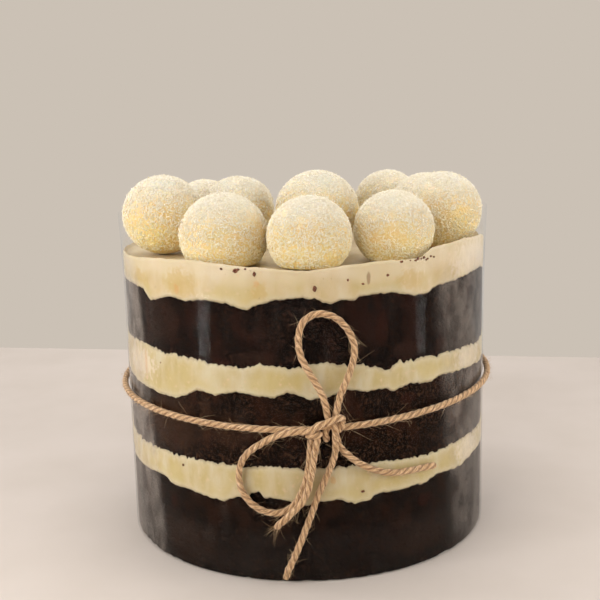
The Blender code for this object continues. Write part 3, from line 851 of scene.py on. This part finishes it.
# Knot: the turns that show, as routes, drawn over a small core of the same twine
KNOT_AT = (6.2, 60.6, 78.6)
KNOT_CORE = (0.0044, 0.0014, 0.0016)
KNOT_TURNS = (
    ((-3.4, 59, 79.9), (0.8, 59.4, 80.5), (3, 60.7, 81.1), (5.3, 62, 81.4), (8, 63, 81.5),
     (10.4, 63.7, 81), (12, 63.4, 80), (12.5, 61.7, 78.8)),
    ((-0.3, 57.6, 79), (1.4, 57.4, 80), (3.4, 57.6, 80), (4.7, 58, 79.2)),
    ((12.1, 62.2, 79.6), (11.8, 60.2, 79.1), (11.1, 58.4, 78.5)),
    ((6.8, 61.2, 78.9), (6.8, 59.7, 78.6), (6.4, 57.4, 78.4), (6.8, 54.8, 78)),
    ((9.2, 62.8, 79), (9.5, 60.8, 79.6), (9.7, 58.5, 79.7), (9.7, 56, 79.7), (9.8, 54.8, 79.5)),
)
core = made("knot_core", bpy.ops.mesh.primitive_uv_sphere_add, segments=40, ring_count=24, radius=1.0)
bpy.ops.object.mode_set(mode="EDIT")
bpy.ops.transform.resize(value=KNOT_CORE)
close_edit()
angle = KNOT_AT[0] / 1000 / ROUTE_R
swelling = read_points(core)
swelling = swelling * (1 + 0.10 * relief(swelling, 0.0016, 4.0))[:, None]
write_points(core, swelling)
core.data.transform(Matrix.Translation(on_film(*KNOT_AT)) @ Matrix.Rotation(angle, 4, "Z"))
core.data.materials.append(jute)
core_ply = core.data.attributes.new("ply", "FLOAT_VECTOR", "POINT")
core_ply.data.foreach_set("vector", swelling.astype(np.float32).ravel())
knot_turns = [
    twisted(smooth_route(np.array([on_film(*row) for row in turn]))[0], 0.7 + 0.9 * number)
    for number, turn in enumerate(KNOT_TURNS)
]
knot = twine_piece("knot", knot_turns)
pick(core, knot)
bpy.ops.object.join()
shade(knot, 70)
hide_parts("twine_knot")

# Loose fibres that stand off the twine, and the frayed end
draw = np.random.default_rng(31)
HAIRS_PER_METRE = 2200
HAIR_REACH = 0.0024  # from the twine's centre line outwards
HAIR_RINGS = 5
HAIR_SIDES = 3
HAIR_R = 0.000042
FRAYED_HAIRS = 22
FRAYED_HAIR_R = 0.00005
FRAY_REACH = 0.0800  # from the cake's axis
hairs = []


def hair(root, away, along, length, thickness, farthest):
    """Points of a bent fibre, which stays that near to the cake's axis."""
    steps = np.linspace(0, 1, HAIR_RINGS)[:, None]
    curl = draw.normal(0, 0.35, 3)
    line = root + length * (steps * (0.55 * away + 0.85 * along) + steps**2 * curl * 0.8)
    side, up = carried_sides(line, away + 0.01)
    width = thickness * (1 - 0.7 * steps)
    wall = line[:, None, :] + width[:, :, None] * spokes(side, up, HAIR_SIDES)
    points = np.vstack((wall.reshape(-1, 3), line[0], line[-1]))
    out = np.hypot(points[:, 0], points[:, 1])
    points[:, :2] *= np.minimum(1, farthest / out)[:, None]
    points[:, 2] = np.maximum(points[:, 2], 0.0001)
    return points


for line in twine_lines:
    farthest = HAIR_REACH + np.hypot(line[:, 0], line[:, 1]).max()
    along = tangents(line)
    length = np.linalg.norm(np.diff(line, axis=0), axis=1).sum()
    for _ in range(round(length * HAIRS_PER_METRE)):
        index = draw.integers(0, len(line))
        outwards = line[index] * (1, 1, 0) / np.linalg.norm(line[index][:2])
        away = draw.normal(0, 1, 3)
        away = away - along[index] * np.dot(away, along[index])
        away = away / np.linalg.norm(away)
        if np.dot(away, outwards) < -0.25:
            away = away - 2 * np.dot(away, outwards) * outwards
        forth = along[index] * draw.choice((-1, 1))
        root = line[index] + away * TWINE_R * 0.85
        hairs.append(hair(root, away, forth, draw.gamma(3.0, 0.0008), HAIR_R, farthest))

fray_root = twine_lines[3][-3]
fray_along = tangents(twine_lines[3])[-1]
for _ in range(FRAYED_HAIRS):
    away = draw.normal(0, 1, 3)
    away = away - fray_along * np.dot(away, fray_along)
    outwards = fray_root * (1, 1, 0) / np.linalg.norm(fray_root[:2])
    away = away - outwards * min(0.0, np.dot(away, outwards)) * 1.2
    spread = fray_along + 0.15 * away
    root = fray_root + away * 0.0006
    long = draw.uniform(0.0015, 0.0080)
    hairs.append(hair(root, 0.3 * away, spread, long, FRAYED_HAIR_R, FRAY_REACH))

hair_faces = [tube_faces(HAIR_RINGS, HAIR_SIDES, number * len(hairs[0])) for number in range(len(hairs))]
fibres = mesh_piece("twine_fibres", np.vstack(hairs), np.vstack(hair_faces))
pale_jute, tree, shader = new_finish("jute_fibre", 0.7, 0.3)
tone = grain(tree, object_place(tree), 0.004, 2.0)
tree.links.new(shades(tree, tone, (0.35, colour(176, 138, 96)), (0.65, colour(226, 198, 158))),
               shader.inputs["Base Color"])
fibres.data.materials.append(pale_jute)
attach(fibres, "root")


# Coconut truffles
# Hand-rolled balls of white chocolate and coconut paste, each a little uneven, rolled in short
# white coconut. The coconut is thick on top and thinner below, where the yellow paste shows. Paste
# and coconut are also painted whiter on top and yellower and lighter underneath, as painted light.

# x, y, radius and height of the top
TRUFFLES = (
    (-0.0562, -0.0145, 0.0164, 0.1464),
    (-0.0293, -0.0500, 0.0163, 0.1413),
    (0.0023, -0.0591, 0.0153, 0.1402),
    (0.0338, -0.0481, 0.0148, 0.1406),
    (0.0560, -0.0180, 0.0157, 0.1455),
    (0.0535, 0.0155, 0.0150, 0.1434),
    (0.0397, 0.0437, 0.0150, 0.1437),
    (0.0085, 0.0578, 0.0150, 0.1430),
    (-0.0282, 0.0530, 0.0145, 0.1415),
    (-0.0432, 0.0246, 0.0150, 0.1422),
    (0.0058, -0.0283, 0.0163, 0.1476),
    (-0.0270, -0.0012, 0.0150, 0.1446),
    (0.0080, 0.0155, 0.0151, 0.1450),
)
TRUFFLE_SQUASH = 0.97
TRUFFLE_FLOOR = 0.1151
COCONUT_DEPTH = 0.0001  # the paste lies this far inside the truffle's outline
SHREDS = 9500  # tried for each truffle, before those in the way of the film or the cream go
SHRED_REACH = 0.0745  # from the cake's axis, inside the film

paste, tree, shader = new_finish("coconut_paste", 0.6, 0.35)
place = object_place(tree)
fine = grain(tree, place, 0.0007, 4.0)
patch = grain(tree, place, 0.0050, 2.0, (1, 1, 1), 6.0)
dough = shades(tree, fine, (0.35, colour(226, 194, 132)), (0.55, colour(234, 208, 152)),
               (0.72, colour(240, 222, 178)))
dough = mixed(tree, between(tree, patch, 0.4, 0.65, 0.0, 0.5), dough, colour(238, 216, 164))
# Towards the underside the paste shows where the coconut thins. It is also painted yellower and lighter
# there, as painted shade and fill light. Towards the top it is painted whiter, as coconut powder and
# painted top light.
bare = shades(tree, fine, (0.35, colour(240, 210, 134)), (0.55, colour(248, 224, 156)),
              (0.72, colour(253, 236, 188)))
powder_and_painted_top_light = shades(tree, fine, (0.35, colour(228, 213, 184)), (0.65, colour(242, 231, 206)))
dough = mixed(tree, between(tree, kept(tree, "upward"), 0.1, 0.85, 0.0, 0.9), dough, powder_and_painted_top_light)
upward = total(tree, kept(tree, "upward"), product(tree, patch, 0.8))
dough = mixed(tree, between(tree, upward, -0.20, 0.65, 1.0, 0.0), dough, bare)
tree.links.new(dough, shader.inputs["Base Color"])
shader.inputs["Subsurface Weight"].default_value = 0.8
shader.inputs["Subsurface Radius"].default_value = (0.009, 0.007, 0.004)
bumpy(tree, shader, fine, 0.0006, 0.9)

shred, tree, shader = new_finish("dried_coconut", 0.6, 0.25)
tone = grain(tree, object_place(tree), 0.0010, 2.0)
flake = shades(tree, tone, (0.3, colour(226, 215, 190)), (0.55, colour(239, 230, 210)),
               (0.75, colour(250, 245, 231)))
# Painted light: towards the underside the flakes are painted yellower and lighter
painted_underside_light = between(tree, kept(tree, "upward"), -0.6, 0.5, 0.85, 0.0)
flake = mixed(tree, painted_underside_light, flake, colour(254, 242, 208))
tree.links.new(flake, shader.inputs["Base Color"])
shader.inputs["Subsurface Weight"].default_value = 0.4
shader.inputs["Subsurface Radius"].default_value = (0.002, 0.002, 0.0015)

SHRED_FACES = np.array(
    [(0, 1, 4), (0, 4, 3), (1, 2, 5), (1, 5, 4), (2, 0, 3), (2, 3, 5), (0, 2, 1), (3, 4, 5)]
)


def shreds(middle, radius, tall, draw):
    """Three-sided slivers lying on a ball: points, triangles, and how far up each one faces."""
    height = 1 - 1.85 * draw.random(SHREDS) ** 1.5
    turn = draw.uniform(0, 2 * pi, SHREDS)
    level = np.sqrt(np.maximum(1 - height**2, 0))
    normal = np.stack((level * np.cos(turn), level * np.sin(turn), height), -1)
    centre = middle + normal * (radius - COCONUT_DEPTH + draw.uniform(-0.00010, 0.00030, SHREDS)[:, None])
    centre[:, 2] = middle[2] + normal[:, 2] * tall * (1 - COCONUT_DEPTH / radius)
    keep = (centre[:, 2] > TRUFFLE_FLOOR + 0.0004) & (np.hypot(centre[:, 0], centre[:, 1]) < SHRED_REACH)
    keep &= relief(normal, 0.55, draw.uniform(0, 50)) + draw.normal(0, 0.22, SHREDS) > -0.40
    normal, centre = normal[keep], centre[keep]
    count = len(centre)
    guide = draw.normal(0, 1, (count, 3))
    along = np.cross(normal, guide)
    along /= np.linalg.norm(along, axis=1)[:, None]
    lift = draw.normal(0, 0.28, count)[:, None]
    along = along * np.cos(lift) + normal * np.sin(lift)
    across = np.cross(normal, along)
    across /= np.linalg.norm(across, axis=1)[:, None]
    upright = np.cross(along, across)
    length = np.clip(draw.gamma(4.0, 0.00022, count), 0.0004, 0.0022)
    width = draw.uniform(0.00014, 0.00032, count)
    rings = []
    for at, share in ((-0.5, 1.0), (0.5, 0.55)):
        spine = centre + along * (at * length)[:, None]
        for corner in (pi / 2, pi * 7 / 6, pi * 11 / 6):
            rings.append(spine + across * (width * share * cos(corner))[:, None]
                         + upright * (width * share * 0.62 * sin(corner))[:, None])
    points = np.stack(rings, 1).reshape(-1, 3)
    faces = (SHRED_FACES[None] + 6 * np.arange(count)[:, None, None]).reshape(-1, 3)
    return points, faces, np.repeat(normal[:, 2], 6)


for number, (x, y, radius, top) in enumerate(TRUFFLES, start=1):
    tall = radius * TRUFFLE_SQUASH
    middle = np.array([x, y, top - tall])
    name = f"coconut_truffle_{number:02d}"
    ball = made(name, bpy.ops.mesh.primitive_ico_sphere_add, subdivisions=6, radius=1.0)
    bpy.ops.object.mode_set(mode="EDIT")
    bpy.ops.mesh.select_all(action="SELECT")
    bpy.ops.transform.resize(value=(radius - COCONUT_DEPTH, radius - COCONUT_DEPTH, tall - COCONUT_DEPTH))
    bpy.ops.mesh.bisect(plane_co=(0, 0, TRUFFLE_FLOOR - middle[2]), plane_no=(0, 0, 1), use_fill=True,
                        clear_inner=True)
    close_edit()
    points = read_points(ball)
    free = points[:, 2] > TRUFFLE_FLOOR - middle[2] + 1e-5
    swell = 0.00022 * relief(points[free], 0.0085, number)
    swell += 0.00013 * relief(points[free], 0.0021, number + 30)
    points[free] *= 1 + (swell / radius)[:, None]
    write_points(ball, points + middle)
    ball.data.materials.append(paste)
    note(ball, "upward", points[:, 2] / tall)
    draw = np.random.default_rng(200 + number)
    coat_points, coat_faces, coat_upward = shreds(middle, radius, tall, draw)
    coat = mesh_piece("coat", coat_points, coat_faces)
    note(coat, "upward", coat_upward)
    coat.data.materials.append(shred)
    pick(coat, ball)
    bpy.ops.object.join()
    shade(ball, 40)
    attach(ball, "root")
    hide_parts(f"truffle_{number:02d}")


# Floor, light and camera
# A pale cloth-covered table with a far edge, soft light from above and from both sides of the
# camera, and a tall narrow panel at each side that shows as a line of light in the film.

FLOOR_TOP = -0.0004
TABLE_BACK = 0.284
TABLE_TURN = radians(9.5)

floor = made("floor", bpy.ops.mesh.primitive_plane_add, (0, 0, FLOOR_TOP), size=1.0)
bpy.ops.object.mode_set(mode="EDIT")
bpy.ops.mesh.select_all(action="SELECT")
bpy.ops.transform.resize(value=(5.0, 2.2, 1.0))
bpy.ops.transform.translate(value=(0, TABLE_BACK - 1.1, 0))
bpy.ops.transform.rotate(value=TABLE_TURN, orient_axis="Z", center_override=(0, TABLE_BACK, 0))
close_edit()
bpy.ops.object.transform_apply(location=True)
cloth, tree, shader = new_finish("table_cloth", 0.9, 0.1)
weave = grain(tree, object_place(tree), 0.05, 3.0)
tree.links.new(shades(tree, weave, (0.3, colour(204, 193, 183)), (0.7, colour(210, 199, 190))),
               shader.inputs["Base Color"])
floor.data.materials.append(cloth)

world = bpy.context.scene.world or bpy.data.worlds.new("room")
bpy.context.scene.world = world
world.use_nodes = True
tree = world.node_tree
tree.nodes.clear()
seen = tree.nodes.new("ShaderNodeBackground")
seen.inputs["Color"].default_value = colour(203, 193, 181)
lit = tree.nodes.new("ShaderNodeBackground")
direction = split(tree, tree.nodes.new("ShaderNodeTexCoord").outputs["Generated"])
towards_back = between(tree, direction["Y"], -0.5, 0.9, 0.46, 0.68)
tree.links.new(towards_back, lit.inputs["Strength"])
lit.inputs["Color"].default_value = (1.0, 0.95, 0.90, 1)
to_camera = tree.nodes.new("ShaderNodeLightPath").outputs["Is Camera Ray"]
room = blended(tree, to_camera, lit.outputs["Background"], seen.outputs["Background"])
tree.links.new(room, tree.nodes.new("ShaderNodeOutputWorld").inputs["Surface"])


def panel(name, place, aim, size, radiance, tint=(1, 1, 1)):
    """A soft light of that radiance, facing a point, which the camera doesn't see."""
    data = bpy.data.lights.new(name, "AREA")
    data.shape = "RECTANGLE"
    data.size, data.size_y = size
    data.energy = radiance * pi * size[0] * size[1]
    data.color = tint
    light = bpy.data.objects.new(name, data)
    light.location = place
    light.rotation_mode = "QUATERNION"
    light.rotation_quaternion = (Vector(aim) - Vector(place)).to_track_quat("-Z", "Y")
    light.visible_camera = False
    bpy.context.scene.collection.objects.link(light)


CAKE_MIDDLE = (0, 0, 0.08)
panel("overhead", (-0.1, 0.15, 1.1), CAKE_MIDDLE, (1.3, 1.1), 1.55, (0.97, 0.98, 1.0))
panel("front_left", (-0.80, -1.00, 0.60), CAKE_MIDDLE, (0.9, 0.8), 2.75, (1, 0.98, 0.96))
panel("front_right", (1.10, -0.62, 0.55), CAKE_MIDDLE, (0.8, 0.8), 2.6, (1, 0.98, 0.95))
STREAK_FAR = 0.40
for name, azimuth, width, radiance in (("streak_left", -58, 0.055, 8.6), ("streak_right", 68, 0.050, 5.5)):
    stand = (STREAK_FAR * sin(radians(azimuth)), -STREAK_FAR * cos(radians(azimuth)), 0.20)
    panel(name, stand, (0, 0, 0.20), (width, 0.40), radiance)

CAMERA_PLACE = (0.0, -0.400, 0.165)
CAMERA_DOWN = radians(10.42)
CAMERA_LEFT = radians(0.264)
CAMERA_ROLL = radians(-1.357)
PHOTO_WIDTH = 600
FOCAL_PIXELS = 950.57
camera_data = bpy.data.cameras.new("camera")
camera_data.sensor_width = 36.0
camera_data.lens = FOCAL_PIXELS * camera_data.sensor_width / PHOTO_WIDTH
camera = bpy.data.objects.new("camera", camera_data)
bpy.context.scene.collection.objects.link(camera)
camera.matrix_world = (
    Matrix.Translation(CAMERA_PLACE)
    @ Matrix.Rotation(CAMERA_LEFT, 4, "Z")
    @ Matrix.Rotation(pi / 2 - CAMERA_DOWN, 4, "X")
    @ Matrix.Rotation(CAMERA_ROLL, 4, "Z")
)
bpy.context.scene.camera = camera
bpy.context.scene.view_settings.view_transform = "Standard"
